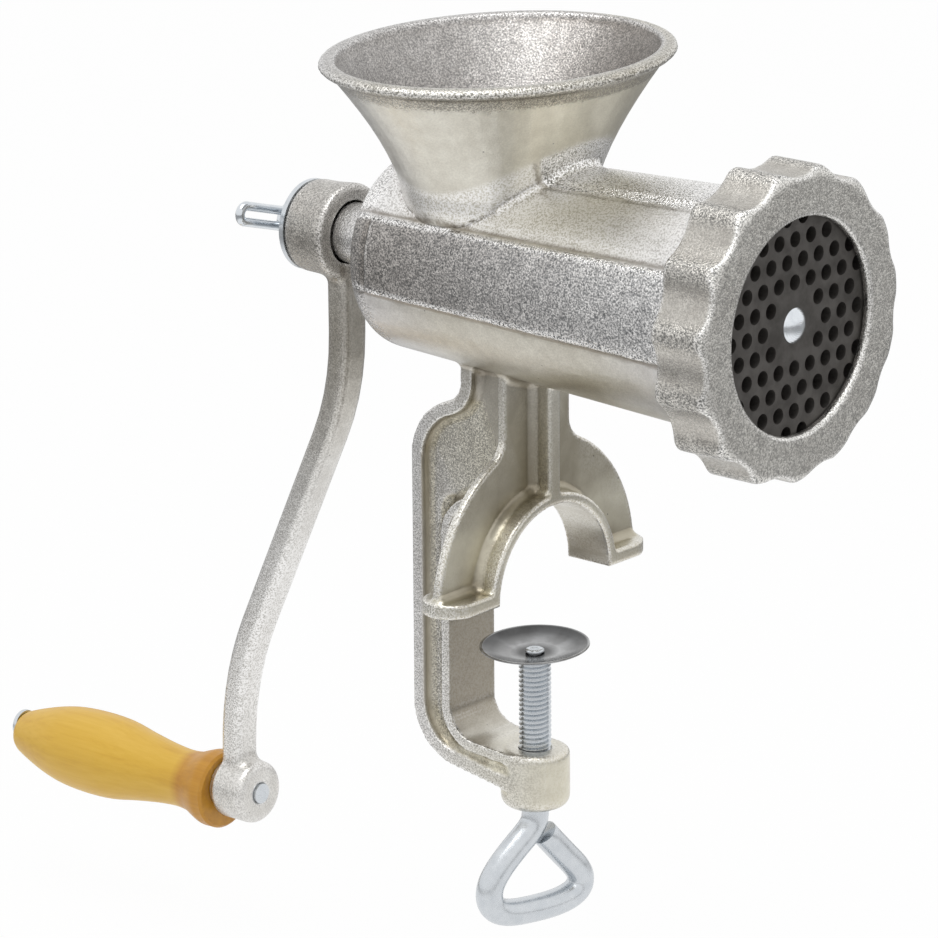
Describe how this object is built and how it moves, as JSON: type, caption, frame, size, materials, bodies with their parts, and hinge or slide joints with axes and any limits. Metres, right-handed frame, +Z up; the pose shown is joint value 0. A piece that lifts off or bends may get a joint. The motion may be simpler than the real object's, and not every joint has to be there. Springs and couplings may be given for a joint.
{
  "type": "hand crank meat grinder",
  "caption": "Hand crank meat grinder with a flared oval hopper, scalloped ring nut, perforated plate, C-shaped table clamp and wooden crank grip.",
  "frame": {"origin": "centre of the two feet's underside plane, on the clamp screw's axis: the table top lies in z = 0", "axes": "+X along the barrel out of the outlet, +Z up, +Y to the left of someone looking along +X"},
  "size_m": [0.3193, 0.118, 0.2699],
  "materials": {
    "casting": "hot tinned, bright and grainy",
    "steel": "ground steel",
    "plate_steel": "dark hardened steel",
    "zinc": "bright zinc plate",
    "washer": "moulded plastic",
    "wood": "yellow lacquer"
  },
  "bodies": {
    "housing": {"barrel": "casting", "hopper": "casting", "stand": "casting", "saddle": "casting", "plate_key": "steel", "thrust_washer": "washer"},
    "crank": {"auger": "casting", "knife_stud": "zinc", "knife": "steel", "crank_arm": "casting", "grip_axle": "zinc", "grip_inner_washer": "zinc", "grip_end_washer": "zinc"},
    "grip": {"wooden_grip": "wood"},
    "crank_retainer": {"crank_washer": "zinc"},
    "thumb_screw": {"thumb_screw": "zinc"},
    "plate": {"perforated_plate": "plate_steel"},
    "ring": {"ring_nut": "casting"},
    "pad": {"clamp_pad": "zinc"},
    "clamp_screw": {"clamp_screw": "zinc"}
  },
  "joints": [
    {"name": "crank_turn", "type": "hinge", "parent": "housing", "child": "crank", "pos_m": [0, 0, 0.096], "axis": [1, 0, 0], "continuous": true},
    {"name": "grip_spin", "type": "hinge", "parent": "crank", "child": "grip", "pos_m": [-0.175, 0, -0.0932], "axis": [1, 0, 0], "continuous": true},
    {"name": "retainer_slide", "type": "slide", "parent": "crank", "child": "crank_retainer", "axis": [-1, 0, 0], "range_m": [0, 0.012]},
    {"name": "thumb_screw_turn", "type": "hinge", "parent": "crank_retainer", "child": "thumb_screw", "pos_m": [-0.09, 0, 0.096], "axis": [-1, 0, 0], "continuous": true},
    {"name": "plate_slide", "type": "slide", "parent": "housing", "child": "plate", "axis": [1, 0, 0], "range_m": [0, 0.012]},
    {"name": "ring_turn", "type": "hinge", "parent": "plate", "child": "ring", "pos_m": [0.09, 0, 0.096], "axis": [1, 0, 0], "continuous": true},
    {"name": "pad_slide", "type": "slide", "parent": "housing", "child": "pad", "axis": [0, 0, 1], "range_m": [-0.026, 0]},
    {"name": "clamp_screw_turn", "type": "hinge", "parent": "pad", "child": "clamp_screw", "pos_m": [0, 0, -0.05], "axis": [0, 0, 1], "continuous": true}
  ],
  "couplings": [
    {"joint": "thumb_screw_turn", "follows": "retainer_slide", "rad_per_m": 5026.5},
    {"joint": "ring_turn", "follows": "plate_slide", "rad_per_m": 2094.4},
    {"joint": "clamp_screw_turn", "follows": "pad_slide", "rad_per_m": 4188.8}
  ]
}
